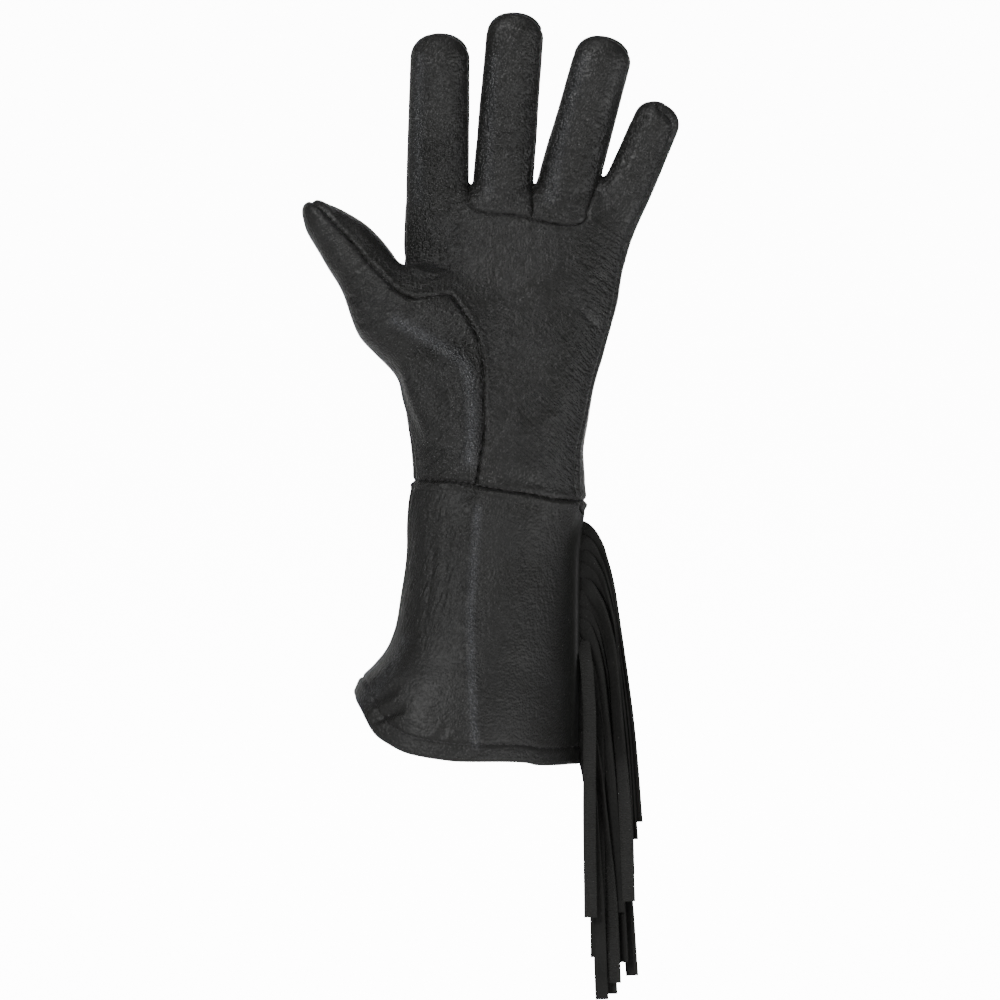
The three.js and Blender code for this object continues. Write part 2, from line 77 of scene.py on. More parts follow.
# Height, left edge, right edge, front and back, as shares of HAND, then how square the
# little-finger side is.
TRUNK = [
    (-1.31, -0.7, 0.322, -0.49, 0.47, 1.9),
    (-1.1, -0.68, 0.322, -0.475, 0.455, 1.9),
    (-0.895, -0.625, 0.322, -0.435, 0.415, 1.9),
    (-0.845, -0.6, 0.322, -0.42, 0.4, 1.9),
    (-0.788, -0.543, 0.322, -0.4, 0.382, 1.9),
    (-0.72, -0.489, 0.322, -0.382, 0.366, 1.9),
    (-0.66, -0.462, 0.322, -0.367, 0.352, 1.9),
    (-0.48, -0.426, 0.323, -0.33, 0.318, 1.95),
    (-0.3, -0.402, 0.332, -0.296, 0.288, 2.0),
    (-0.15, -0.4, 0.364, -0.278, 0.272, 2.05),
    (-0.06, -0.392, 0.386, -0.268, 0.266, 2.15),
    (0.02, -0.374, 0.384, -0.26, 0.26, 2.2),
    (0.15, -0.379, 0.377, -0.25, 0.245, 2.3),
    (0.28, -0.397, 0.397, -0.25, 0.226, 2.3),
    (0.42, -0.415, 0.421, -0.244, 0.208, 2.3),
    (0.58, -0.4, 0.466, -0.228, 0.19, 2.3),
    (0.76, -0.41, 0.514, -0.202, 0.174, 2.3),
    (0.93, -0.418, 0.545, -0.178, 0.162, 2.3),
    (1.06, -0.405, 0.57, -0.156, 0.15, 2.3),
    (1.17, -0.395, 0.58, -0.136, 0.132, 2.3),
    (1.25, -0.375, 0.54, -0.115, 0.112, 2.3),
    (1.285, -0.34, 0.47, -0.09, 0.09, 2.3),
    (1.31, -0.25, 0.4, -0.05, 0.05, 2.3),
]

# Along the thumb, then half its width, its front and its back, as shares of HAND.
THUMB_FROM = (-0.15, 0.46)
THUMB_TO = (-0.856, 1.2)
THUMB = [
    (0.0, 0.29, -0.222, 0.15),
    (0.25, 0.27, -0.262, 0.13),
    (0.4, 0.227, -0.272, 0.09),
    (0.52, 0.188, -0.272, 0.05),
    (0.65, 0.154, -0.262, 0.016),
    (0.79, 0.127, -0.248, -0.018),
    (0.91, 0.105, -0.24, -0.03),
    (1.0, 0.09, -0.236, -0.036),
]
THUMB_OUTLINE = [
    (-0.02, 0.72), (-0.2, 0.88), (-0.33, 0.95), (-0.422, 0.972), (-0.471, 1.027),
    (-0.514, 1.077), (-0.569, 1.132), (-0.631, 1.175), (-0.699, 1.212), (-0.76, 1.236),
    (-0.8, 1.246), (-0.826, 1.243), (-0.85, 1.228), (-0.858, 1.2), (-0.852, 1.16),
    (-0.835, 1.105), (-0.792, 1.033), (-0.742, 0.947), (-0.696, 0.873), (-0.668, 0.811),
    (-0.644, 0.737), (-0.606, 0.651), (-0.545, 0.583), (-0.483, 0.521), (-0.434, 0.459),
    (-0.38, 0.33), (-0.28, 0.2), (-0.05, 0.3),
]

# Root and tip (x, z) as shares of HAND, then width in millimetres.
FINGERS = {
    "index": ((-0.274, 0.95), (-0.253, 1.984), 26.4),
    "middle": ((-0.008, 0.98), (0.082, 2.075), 25.4),
    "ring": ((0.213, 0.98), (0.484, 1.968), 25.6),
    "little": ((0.4, 0.93), (0.734, 1.675), 21.2),
}
# Share of a finger's length, of its width and of its depth.
FINGER = [(0, 1, 1), (0.36, 1.03, 0.98), (0.7, 1.0, 0.93), (0.87, 0.98, 0.88), (1, 0.96, 0.82)]

WRIST_SEAM = [
    (-0.6, 0.035), (-0.36, 0.02), (-0.16, 0.01), (-0.054, -0.013), (0.14, -0.04),
    (0.31, -0.066), (0.6, -0.064),
]
THUMB_SEAM = [
    (-0.87, 1.3), (-0.813, 1.243), (-0.767, 1.206), (-0.718, 1.144), (-0.65, 1.071),
    (-0.576, 0.984), (-0.514, 0.922), (-0.458, 0.861), (-0.409, 0.829), (-0.372, 0.816),
    (-0.323, 0.817), (-0.249, 0.832), (-0.209, 0.831), (-0.194, 0.814), (-0.135, 0.733),
    (-0.095, 0.653), (-0.074, 0.579), (-0.064, 0.497), (-0.064, 0.363), (-0.064, 0.229),
    (-0.081, 0.107), (-0.104, -0.03),
]
THUMB_BACK_SEAM = [
    (-0.5, 1.25), (-0.434, 1.08), (-0.414, 0.98), (-0.38, 0.84), (-0.356, 0.6),
    (-0.346, 0.3), (-0.334, -0.06),
]
FINGER_ROOT_SEAM = [
    (-0.07, 2.3), (-0.094, 1.8), (-0.115, 1.42), (-0.125, 1.32), (-0.13, 1.26), (-0.119, 1.228),
    (-0.081, 1.199), (-0.004, 1.189), (0.072, 1.184), (0.149, 1.17), (0.224, 1.151),
    (0.292, 1.142), (0.349, 1.144), (0.387, 1.17), (0.401, 1.228), (0.431, 1.3),
    (0.5, 1.48), (0.6, 1.68), (0.8, 2.3),
]
MIDDLE_RING_SEAM = [(0.3, 2.4), (0.22, 1.75), (0.156, 1.36), (0.15, 1.28), (0.149, 1.1)]
HEM = [
    (-0.9, -0.8), (-0.7, -0.875), (-0.638, -0.89), (-0.618, -0.94), (-0.585, -1.0),
    (-0.545, -1.07), (-0.482, -1.116), (-0.413, -1.151), (-0.337, -1.17), (-0.238, -1.185),
    (-0.161, -1.192), (0.029, -1.194), (0.128, -1.2), (0.22, -1.214), (0.6, -1.212),
]
CREASE = [
    (-1.2, -0.106), (-1.04, -0.108), (-0.51, -0.117), (-0.32, -0.101), (-0.11, -0.056),
    (0, -0.03),
]
LITTLE_SIDE = [
    (-0.16, 0.0), (-0.1, -0.09), (0.0, -0.128), (0.12, -0.12), (0.33, -0.1), (0.53, -0.087),
    (0.94, -0.058), (1.7, -0.052),
]
THUMB_SIDE = [(-0.6, -0.05), (0.02, -0.06), (0.6, -0.03)]
THUMB_SEAM_DEPTH = -12.0

# How a strip falls from the seam: drop, then reach away from the seam, as shares of HAND.
FALL = [(0.028, 0.037), (0.063, 0.062), (0.113, 0.088), (0.213, 0.12), (0.38, 0.149)]
# Fringe strips from the top down: share of that reach, end x, end z and depth as shares of
# HAND, the turn of the hanging part and the turn at the end, in degrees.
STRIPS = [
    (1.0, 0.607, -1.484, 0.01, 62, 30),
    (0.97, 0.594, -1.56, 0.015, 60, 40),
    (0.96, 0.578, -1.71, 0.0, 58, 30),
    (0.98, 0.536, -1.76, 0.02, 60, 50),
    (0.97, 0.572, -1.83, -0.05, 52, 4),
    (0.88, 0.504, -1.79, 0.0, 52, 40),
    (0.72, 0.466, -1.86, 0.01, 38, 50),
    (0.64, 0.53, -1.88, -0.02, 30, 30),
    (0.25, 0.403, -1.9, -0.08, 5, 3),
    (0.5, 0.444, -1.97, -0.01, 24, 20),
    (0.66, 0.5, -2.04, 0.03, 40, 45),
    (0.74, 0.546, -2.1, 0.0, 58, 40),
    (0.9, 0.592, -2.16, 0.03, 60, 30),
    (0.4, 0.43, -2.08, 0.03, 45, 35),
    (0.62, 0.516, -2.19, -0.02, 50, 20),
    (0.52, 0.496, -2.24, 0.01, 45, 25),
    (0.36, 0.458, -2.262, -0.035, 30, 5),
]


def read_table(rows, at):
    """The columns after the first, read smoothly at many places along the first."""
    rows = np.asarray(rows, float)
    keys, values = rows[:, 0], rows[:, 1:]
    slopes = np.gradient(values, keys, axis=0)
    at = np.clip(at, keys[0], keys[-1])
    low = np.clip(np.searchsorted(keys, at, side="right") - 1, 0, len(keys) - 2)
    step = (keys[low + 1] - keys[low])[..., None]
    t = (at - keys[low])[..., None] / step
    t2, t3 = t * t, t * t * t
    found = (
        (2 * t3 - 3 * t2 + 1) * values[low]
        + (t3 - 2 * t2 + t) * step * slopes[low]
        + (3 * t2 - 2 * t3) * values[low + 1]
        + (t3 - t2) * step * slopes[low + 1]
    )
    return np.moveaxis(found, -1, 0)


def curve_at(a, b, c, d, t):
    """A smooth curve from b to c as t goes from nothing to one, with a before it and d after."""
    return 0.5 * (
        2 * b
        + (c - a) * t
        + (2 * a - 5 * b + 4 * c - d) * t * t
        + (3 * b - a - 3 * c + d) * t**3
    )


def rounded_line(points, closed=False, pieces=6):
    """A smooth line through points given as shares of HAND, in millimetres."""
    p = np.asarray(points, float) * HAND
    before, after = (p[-1:], p[:2]) if closed else (2 * p[:1] - p[1:2], 2 * p[-1:] - p[-2:-1])
    p = np.vstack([before, p, after])
    steps = np.arange(pieces) / pieces
    out = [curve_at(*four, t) for four in zip(p, p[1:], p[2:], p[3:]) for t in steps]
    return np.array(out if closed else out + [p[-2]])


def unit(v):
    """Each row of a list at length one."""
    return v / np.maximum(np.linalg.norm(v, axis=-1, keepdims=True), 1e-9)


def run_of(line):
    """How far along a line each of its points lies."""
    return np.concatenate([[0], np.cumsum(np.linalg.norm(np.diff(line, axis=0), axis=1))])


def points_along(line, at):
    """The places at some distances along a line."""
    run = run_of(line)
    return np.stack([np.interp(at, run, column) for column in line.T], 1)


def line_distance(x, z, line, endless=True):
    """Distance to a line in X and Z, positive on the left of its run, and how far along it."""
    best = np.full(np.broadcast(x, z).shape, 1e9)
    side = np.zeros_like(best)
    along = np.zeros_like(best)
    run = 0.0
    last = len(line) - 2
    for i in range(len(line) - 1):
        ax, az = line[i]
        dx, dz = line[i + 1] - line[i]
        long = math.hypot(dx, dz)
        t = ((x - ax) * dx + (z - az) * dz) / (long * long)
        low = -np.inf if endless and i == 0 else 0
        high = np.inf if endless and i == last else 1
        t = np.clip(t, low, high)
        far = np.hypot(x - ax - t * dx, z - az - t * dz)
        nearer = far < best
        best = np.where(nearer, far, best)
        side = np.where(nearer, dx * (z - az) - dz * (x - ax), side)
        along = np.where(nearer, run + t * long, along)
        run += long
    return np.where(side < 0, -best, best), along


def inside_distance(x, z, outline):
    """Distance to a closed outline in X and Z, positive inside."""
    best = np.full(np.broadcast(x, z).shape, 1e9)
    inside = np.zeros(best.shape, bool)
    for (ax, az), (bx, bz) in zip(outline, np.roll(outline, -1, axis=0)):
        dx, dz = bx - ax, bz - az
        t = np.clip(((x - ax) * dx + (z - az) * dz) / (dx * dx + dz * dz), 0, 1)
        best = np.minimum(best, np.hypot(x - ax - t * dx, z - az - t * dz))
        if dz:
            inside ^= ((az > z) != (bz > z)) & (x < ax + (z - az) * dx / dz)
    return np.where(inside, best, -best)


def bump(distance, width):
    return np.exp(-((distance / width) ** 2))


def ramp(value, low, high):
    t = np.clip((value - low) / (high - low), 0, 1)
    return t * t * (3 - 2 * t)


def rounded_form(terms, power):
    """How far a point lies from a form with rounded corners, from (offset, size) pairs."""
    shares = [(np.abs(offset) / size + 1e-6, size) for offset, size in terms]
    level = sum(share**power for share, _ in shares) ** (1 / power)
    slope = np.sqrt(sum((share ** (power - 1) / size) ** 2 for share, size in shares))
    return (level - 1) / (slope * level ** (1 - power))


def joined(a, b, radius):
    """Two forms run together with a rounded inside corner."""
    share = np.clip(0.5 + 0.5 * (b - a) / radius, 0, 1)
    return b + (a - b) * share - radius * share * (1 - share)


def lean_at(z):
    """How far the middle of a finger leans towards the palm."""
    return -FINGER_CURL * np.maximum(0, z / HAND - 1.05) ** 1.7


def palm_relief(x, z):
    """The main dents and folds of the palm side: plus pushes the leather in."""
    below = np.clip((-2 - z) / 14, 0, 1)
    crease = x - read_table(CREASE, z / HAND)[0] * HAND
    return (
        3.2 * bump(x - 10, 24) * bump(z - 58, 30)
        - 1.6 * bump(x - 27, 12) * bump(z - 34, 24)
        + 1.4 * bump(z + 2, 7)
        + below * (0.3 * bump(crease + 13, 8) - 0.4 * bump(crease, 2.4))
        + 2.2 * bump(x + 50, 7) * bump(z + 101, 13)
    )


def trunk_field(x, y, z):
    left, right, front, back, square = read_table(TRUNK, z / HAND)
    middle, half = (left + right) / 2 * HAND, (right - left) / 2 * HAND
    centre, deep = (front + back) / 2 * HAND, (back - front) / 2 * HAND
    frontness = np.clip(-1.6 * (y - centre) / deep, 0, 1)
    pushed = y - palm_relief(x, z) * frontness
    power = np.where(x < middle, THUMB_SIDE_SQUARE, square)
    around = rounded_form([(x - middle, half), (pushed - centre, deep)], power)
    return np.maximum(around, z - TRUNK[-1][0] * HAND)


def finger_field(x, y, z, root, tip, width):
    root, tip = np.array(root) * HAND, np.array(tip) * HAND
    long = np.hypot(*(tip - root))
    ahead = (tip - root) / long
    along = (x - root[0]) * ahead[0] + (z - root[1]) * ahead[1]
    aside = (x - root[0]) * ahead[1] - (z - root[1]) * ahead[0]
    wide, deep = read_table(FINGER, along / long)
    cap = 0.42 * width
    over = np.maximum(0, along - (long - cap))
    depth = FINGER_DEPTH * width / 26
    terms = [(aside, wide * width / 2), (y - lean_at(z), deep * depth / 2), (over, cap)]
    return rounded_form(terms, FINGER_SQUARE)


THUMB_EDGE = rounded_line(THUMB_OUTLINE, closed=True, pieces=4)


def thumb_field(x, y, z):
    start = np.array(THUMB_FROM) * HAND
    ahead = np.array(THUMB_TO) * HAND - start
    along = ((x - start[0]) * ahead[0] + (z - start[1]) * ahead[1]) / (ahead @ ahead)
    reach, front, back = read_table(THUMB, along) * HAND
    inward = inside_distance(x, z, THUMB_EDGE)
    centre, deep = (front + back) / 2, (back - front) / 2
    terms = [(np.maximum(0, reach - inward), reach), (y - centre, deep)]
    return rounded_form(terms, FINGER_SQUARE)


def within(form, box, x, y, z):
    """A form worked out only inside a box, and far away from it elsewhere."""
    near = np.ones(x.shape, bool)
    for value, (low, high) in zip((x, y, z), box):
        near &= (value > low) & (value < high)
    found = np.full(x.shape, FAR)
    found[near] = form(x[near], y[near], z[near])
    return found


def skin_field(x, y, z):
    """Below nothing inside the glove, above it outside, in about millimetres."""
    x, y, z = np.broadcast_arrays(x, y, z)
    fingers = np.full(x.shape, FAR)
    for root, tip, width in FINGERS.values():
        edges = sorted([root[0] * HAND, tip[0] * HAND])
        box = [(edges[0] - 20, edges[1] + 20), (-40, 25), (0.92 * HAND, 220)]

        def finger(x, y, z):
            one = finger_field(x, y, z, root, tip, width)
            return np.maximum(one, (HAND - z) * 0.7)

        crotch = 2.2 + 4.0 * ramp(z, 140, 130) * ramp(x, 28, 38)
        fingers = joined(fingers, within(finger, box, x, y, z), crotch)
    trunk = within(trunk_field, [(-99, 99), (-99, 99), (-200, 1.36 * HAND)], x, y, z)
    thumb = within(thumb_field, [(-99, 8), (-36, 30), (8, 134)], x, y, z)
    flange = np.maximum(np.maximum(x - SEAM_EDGE, np.abs(y) - FLANGE_HALF), z - FLANGE_TOP)
    flange = np.maximum(flange, FLANGE_ROOT - x)
    thumb_web = 3.0 + 12.0 * ramp(-y, 9, 20)
    hand = joined(thumb, joined(fingers, trunk, 3.0), thumb_web)
    return joined(hand, flange, 8.0)


def field_slope(points):
    slope = np.empty_like(points)
    for axis in range(3):
        step = np.zeros(3)
        step[axis] = 0.15
        ahead = skin_field(*(points + step).T)
        slope[:, axis] = (ahead - skin_field(*(points - step).T)) / 0.3
    return slope


def wrap_skin(low, high, step):
    """A mesh of quads where the field is nothing, drawn onto it."""
    x, y, z = (np.arange(a, b + step, step) for a, b in zip(low, high))
    field = skin_field(x[:, None, None], y[None, :, None], z[None, None, :])
    inside = field < 0
    cells = tuple(n - 1 for n in field.shape)
    corners = [(i, j, k) for i in (0, 1) for j in (0, 1) for k in (0, 1)]

    def corner_view(array, corner):
        return array[tuple(slice(c, c + n) for c, n in zip(corner, cells))]

    count = sum(corner_view(inside, c).astype(np.int8) for c in corners)
    active = (count > 0) & (count < 8)
    number = np.full(cells, -1)
    number[active] = np.arange(active.sum())
    places = np.argwhere(active)
    total = np.zeros((len(places), 3))
    hits = np.zeros(len(places))
    for a in corners:
        for axis in range(3):
            if a[axis]:
                continue
            b = tuple(1 if k == axis else a[k] for k in range(3))
            va = corner_view(field, a)[active]
            vb = corner_view(field, b)[active]
            crossed = (va < 0) != (vb < 0)
            share = np.where(crossed, va / np.where(crossed, va - vb, 1), 0)
            at = np.array(a) + share[:, None] * (np.array(b) - np.array(a))
            total += at * crossed[:, None]
            hits += crossed
    points = np.array(low) + step * (places + total / hits[:, None])
    quads = []
    for axis in range(3):
        near, far = [slice(None)] * 3, [slice(None)] * 3
        near[axis], far[axis] = slice(None, -1), slice(1, None)
        out = inside[tuple(near)] & ~inside[tuple(far)]
        into = ~inside[tuple(near)] & inside[tuple(far)]
        u, v = (axis + 1) % 3, (axis + 2) % 3
        for crossing, turn in ((out, False), (into, True)):
            at = np.argwhere(crossing)
            at = at[(at[:, u] > 0) & (at[:, v] > 0)]
            at = at[(at[:, u] < cells[u]) & (at[:, v] < cells[v])]
            ring = []
            for du, dv in ((1, 1), (0, 1), (0, 0), (1, 0)):
                cell = at.copy()
                cell[:, u] -= du
                cell[:, v] -= dv
                ring.append(number[tuple(cell.T)])
            quads.append(np.stack(ring[::-1] if turn else ring, 1))
    quads = np.concatenate(quads)
    for _ in range(3):
        value = skin_field(*points.T)
        slope = field_slope(points)
        move = value / np.maximum((slope**2).sum(1), 0.25)
        points -= np.clip(move, -0.5 * step, 0.5 * step)[:, None] * slope
    return points, np.concatenate([quads[:, [0, 1, 2]], quads[:, [0, 2, 3]]])


def split_along(points, triangles, value, snap=0.15):
    """Cuts triangles where a value at the points passes nothing."""
    value = value.copy()
    size = len(points)
    edges = np.sort(triangles[:, [[0, 1], [1, 2], [2, 0]]].reshape(-1, 2), axis=1)
    code, inverse = np.unique(edges[:, 0] * size + edges[:, 1], return_inverse=True)
    first, second = code // size, code % size
    va, vb = value[first], value[second]
    crossed = va * vb < 0
    share = np.where(crossed, va / np.where(crossed, va - vb, 1), 0.5)
    points = points.copy()
    here = points[first] + share[:, None] * (points[second] - points[first])
    for near, end in ((share < snap, first), (share > 1 - snap, second)):
        chosen = crossed & near
        points[end[chosen]] = here[chosen]
        value[end[chosen]] = 0
    crossed &= value[first] * value[second] < 0
    added = points[first] + share[:, None] * (points[second] - points[first])
    number = np.full(len(code), -1)
    number[crossed] = size + np.arange(crossed.sum())
    new = number[inverse.reshape(-1, 3)]
    hits = (new >= 0).sum(1)
    made = [triangles[hits == 0]]
    for k in range(3):
        a, b, c = (triangles[:, (k + i) % 3] for i in range(3))
        m, n = new[:, k], new[:, (k + 1) % 3]
        one = (hits == 1) & (m >= 0)
        made += [np.stack(parts, 1)[one] for parts in ((a, m, c), (m, b, c))]
        two = (hits == 2) & (m >= 0) & (n >= 0)
        made += [np.stack(parts, 1)[two] for parts in ((m, b, n), (a, m, n), (a, n, c))]
    return np.concatenate([points, added[crossed]]), np.concatenate(made)


# The seams, as signed distances from them.
WRIST_LINE = rounded_line(WRIST_SEAM)
THUMB_LINE = rounded_line(THUMB_SEAM)
THUMB_BACK_LINE = rounded_line(THUMB_BACK_SEAM)
ROOT_LINE = rounded_line(FINGER_ROOT_SEAM)
MIDDLE_RING_LINE = rounded_line(MIDDLE_RING_SEAM)
HEM_LINE = rounded_line(HEM)


def side_seam(x, z):
    """The depth at which the palm side meets the back of the hand."""
    little = lean_at(z) + read_table(LITTLE_SIDE, z / HAND)[0] * HAND
    edge = lean_at(z) + read_table(THUMB_SIDE, z / HAND)[0] * HAND + 3.5 * ramp(z, 100, 140)
    between_edges = ramp(x - finger_axis("little", z), -9, -1)
    near_thumb = np.clip((-41 - x) / 12, 0, 1) * ramp(z, 36, 44)
    edge = edge + near_thumb * (THUMB_SEAM_DEPTH - edge)
    seam = edge + between_edges * (little - edge)
    for name, (_, tip, _) in FINGERS.items():
        beside = x - finger_axis(name, z)
        at_tip = ramp(z, tip[1] * HAND - 15, tip[1] * HAND - 5) * ramp(beside, -7, 1)
        shift = LITTLE_TIP_SHIFT if name == "little" else TIP_SHIFT
        seam = seam - shift * at_tip * (np.abs(beside) < 16)
    return seam


def finger_axis(name, z):
    root, tip, _ = FINGERS[name]
    return (root[0] + (tip[0] - root[0]) * (z / HAND - root[1]) / (tip[1] - root[1])) * HAND


def fork_distance(x, y, z):
    """Below nothing on the gussets between the fingers."""
    names = list(FINGERS)
    axes = [finger_axis(name, z) for name in names]
    nearest = np.argmin([np.abs(x - axis) for axis in axes], axis=0)
    top = np.array([FINGERS[name][1][1] * HAND - 7 for name in names])[nearest]
    up = np.clip((z - 128) / (top - 128), 0, 1)
    half = FORK_HALF * (1 - 0.45 * up) * np.sqrt(np.clip(8 * (1 - up), 0, 1))
    half = np.where(z > top, -1.0, half)
    between = (x > axes[0]) & (x < axes[3]) & (z > 1.18 * HAND)
    offset = y - lean_at(z)
    on_left = x < np.choose(nearest, axes)
    seen = np.where(on_left, 0.15, 0.35 + 0.35 * ramp(up, 0.7, 0.95)) + 0.3 * ramp(z, 142, 125)
    front_half = np.where(half > 0, half * seen, half)
    beyond = np.where(offset < 0, -offset - front_half, offset - half)
    return np.where(between, beyond, NO_SEAM)


def wrist_distance(x, y, z):
    return line_distance(x, z, WRIST_LINE)[0]


def side_distance(x, y, z):
    return y - side_seam(x, z)


def distance_where(here, x, z, line):
    return np.where(here, line_distance(x, z, line)[0], NO_SEAM)


def thumb_distance(x, y, z):
    here = (side_distance(x, y, z) < 3) & (wrist_distance(x, y, z) > 0)
    return distance_where(here, x, z, THUMB_LINE)


def thumb_back_distance(x, y, z):
    here = (side_distance(x, y, z) > -3) & (wrist_distance(x, y, z) > 0)
    return distance_where(here, x, z, THUMB_BACK_LINE)


def root_distance(x, y, z):
    here = (side_distance(x, y, z) < 3) & (z > HAND)
    return distance_where(here, x, z, ROOT_LINE)


def middle_ring_distance(x, y, z):
    here = (side_distance(x, y, z) < 3) & (z > 1.08 * HAND) & (root_distance(x, y, z) > 0)
    return distance_where(here, x, z, MIDDLE_RING_LINE)


def hem_distance(x, y, z):
    return line_distance(x, z, HEM_LINE)[0]


def find_panels(x, y, z):
    """The name of the panel at each place."""
    front = side_distance(x, y, z) < 0
    cuff = wrist_distance(x, y, z) < 0
    names = np.where(front, "palm_panel", "back_panel").astype("U20")
    above = root_distance(x, y, z) > 0
    right = line_distance(x, z, MIDDLE_RING_LINE)[0] > 0
    over_root = front & above & (z > 1.1 * HAND)
    names[over_root] = np.where(right, "ring_front", "middle_front")[over_root]
    on_thumb = np.where(front, thumb_distance(x, y, z) < 0, thumb_back_distance(x, y, z) < 0)
    names[on_thumb] = "thumb_panel"
    forks = fork_distance(x, y, z) < 0
    middle, ring = finger_axis("middle", z), finger_axis("ring", z)
    names[forks & (x < middle)] = "fork_index_middle"
    names[forks & (x >= middle) & (x < ring)] = "fork_middle_ring"
    names[forks & (x >= ring)] = "fork_ring_little"
    names[cuff & front] = "cuff_front"
    names[cuff & ~front] = "cuff_back"
    return names


def noise(points, size, seed):
    """Soft random lumps of about a size, from minus one to one."""
    lattice = np.random.default_rng(seed).random((24, 24, 24)) * 2 - 1
    at = points / size
    cell = np.floor(at).astype(int)
    part = at - cell
    part = part * part * (3 - 2 * part)
    total = np.zeros(len(points))
    for corner in np.ndindex(2, 2, 2):
        weight = np.prod(np.where(corner, part, 1 - part), axis=1)
        total += weight * lattice[tuple(((cell + corner) % 24).T)]
    return total


# Folds of the leather seen from the palm side: depth and width in millimetres, then x and y
# of each point of the fold, in pixels of the photograph.
FOLDS = [
    # across the index finger and its base
    (0.45, 1.3, 412, 146, 430, 150, 447, 146),
    (0.4, 1.2, 414, 152, 431, 156, 444, 153),
    (0.35, 1.3, 409, 193, 425, 197, 445, 196, 468, 192),
    (0.4, 1.4, 409, 199, 428, 203, 448, 201, 468, 198),
    (0.25, 1.2, 411, 207, 432, 209, 452, 206),
    # the middle finger
    (0.5, 1.3, 484, 115, 500, 118, 520, 116),
    (0.55, 1.4, 482, 131, 500, 137, 520, 134),
    (0.4, 1.3, 483, 141, 496, 144, 508, 141),
    (0.45, 1.3, 486, 188, 500, 193, 513, 190),
    (0.45, 1.3, 488, 196, 502, 201, 518, 194),
    (0.45, 1.3, 492, 204, 505, 208, 522, 199),
    # the ring finger
    (0.45, 1.4, 553, 127, 566, 136, 578, 140),
    (0.5, 1.4, 549, 149, 568, 155, 592, 153),
    (0.4, 1.3, 547, 158, 564, 162, 582, 161),
    (0.45, 1.3, 541, 196, 556, 205, 575, 207),
    (0.4, 1.3, 548, 188, 562, 196, 578, 196),
    # fan of folds between the thumb and the index finger
    (0.7, 1.5, 372, 316, 398, 312, 432, 300),
    (0.7, 1.4, 384, 322, 404, 314, 436, 299),
    (0.65, 1.4, 394, 329, 412, 318, 440, 299),
    (0.6, 1.3, 404, 334, 420, 320, 444, 302),
    (0.5, 1.3, 416, 336, 430, 322, 447, 304),
    (0.5, 1.3, 352, 303, 372, 306, 396, 300),
    (0.5, 1.4, 346, 297, 360, 300, 380, 296),
    (0.5, 1.4, 356, 322, 372, 326, 392, 320),
    (0.5, 1.2, 412, 292, 428, 288, 443, 283),
    (0.45, 1.2, 418, 282, 432, 279, 447, 274),
    (0.45, 1.2, 413, 263, 428, 270, 444, 270),
    # puffs and hollows of the ball of the thumb: a raised fold has a depth below nothing
    (-1.3, 4.2, 398, 322, 418, 336, 440, 350, 462, 362, 480, 378),
    (-0.9, 2.8, 468, 360, 471, 395, 471, 430, 465, 470),
    (1.3, 8.0, 404, 352, 428, 384, 440, 420),
    (0.7, 2.0, 452, 372, 458, 398, 456, 436),
    (0.5, 1.6, 416, 462, 432, 444, 452, 424),
    (0.5, 1.6, 418, 474, 436, 458, 456, 438),
    (0.4, 1.4, 434, 476, 448, 464, 460, 452),
    # the little-finger side of the palm
    (0.35, 1.5, 584, 262, 596, 274, 612, 284),
    (0.35, 1.5, 582, 284, 594, 298, 606, 304),
    (0.35, 1.5, 576, 306, 590, 322, 602, 330),
    (-0.7, 7.0, 500, 352, 530, 340, 566, 346),
    (0.8, 9.0, 532, 384, 556, 402, 566, 440),
    # below the middle finger
    (0.12, 1.8, 523, 217, 524, 236, 521, 254),
    (0.12, 1.8, 534, 218, 536, 236, 533, 250),
    # the cuff: soft upright folds, and the puckered corner of the hem
    (0.3, 2.2, 436, 506, 433, 560, 426, 620),
    (0.3, 2.2, 448, 512, 446, 566, 440, 630),
    (0.25, 2.0, 520, 520, 526, 560, 524, 610),
    (-0.9, 2.4, 366, 716, 380, 706, 404, 694),
    (0.7, 1.8, 372, 722, 388, 714, 408, 706),
    (0.5, 1.8, 366, 690, 384, 680, 396, 664),
    (0.5, 1.8, 430, 742, 440, 736, 448, 722),
]


def from_photo(numbers):
    """A line drawn in pixels of the photograph, as shares of HAND."""
    x, y = np.reshape(numbers, (-1, 2)).T
    return np.stack([x - MIDDLE_PIXEL[0], MIDDLE_PIXEL[1] - y], 1) * PIXEL / HAND


def folds(x, y, z):
    """Height of the folds of the palm side."""
    total = np.zeros(x.shape)
    front = y < side_seam(x, z) - 1
    for deep, wide, *line in FOLDS:
        path = rounded_line(from_photo(line), pieces=4)
        low, high = path.min(0) - 5 - 2 * wide, path.max(0) + 5 + 2 * wide
        near = front & (x > low[0]) & (x < high[0]) & (z > low[1]) & (z < high[1])
        far, along = line_distance(x[near], z[near], path, endless=False)
        fade = np.sin(math.pi * np.clip(along / run_of(path)[-1], 0, 1)) ** 0.6
        ridges = bump(np.abs(far) - 1.7 * wide, 0.9 * wide)
        total[near] += deep * fade * (0.55 * ridges - bump(far, 0.7 * wide))
    return total


# Where fine wrinkles run: middle in pixels of the photograph, reach in pixels across and up,
# the direction of the wrinkles in degrees from level, and how strong they are.
WRINKLES = [
    (372, 300, 46, 60, 33, 1.0),
    (352, 250, 30, 40, 25, 0.8),
    (436, 400, 36, 80, 47, 0.9),
    (428, 452, 40, 34, 43, 0.9),
    (440, 176, 34, 50, 168, 0.7),
    (500, 160, 24, 60, 8, 0.5),
    (566, 170, 34, 56, 165, 0.5),
    (440, 248, 40, 36, 43, 0.8),
    (560, 396, 60, 110, 136, 0.8),
    (600, 270, 30, 60, 146, 0.8),
    (520, 240, 40, 50, 95, 0.5),
    (436, 566, 40, 80, 70, 0.8),
    (530, 560, 40, 90, 96, 0.4),
    (474, 600, 12, 160, 80, 0.3),
]
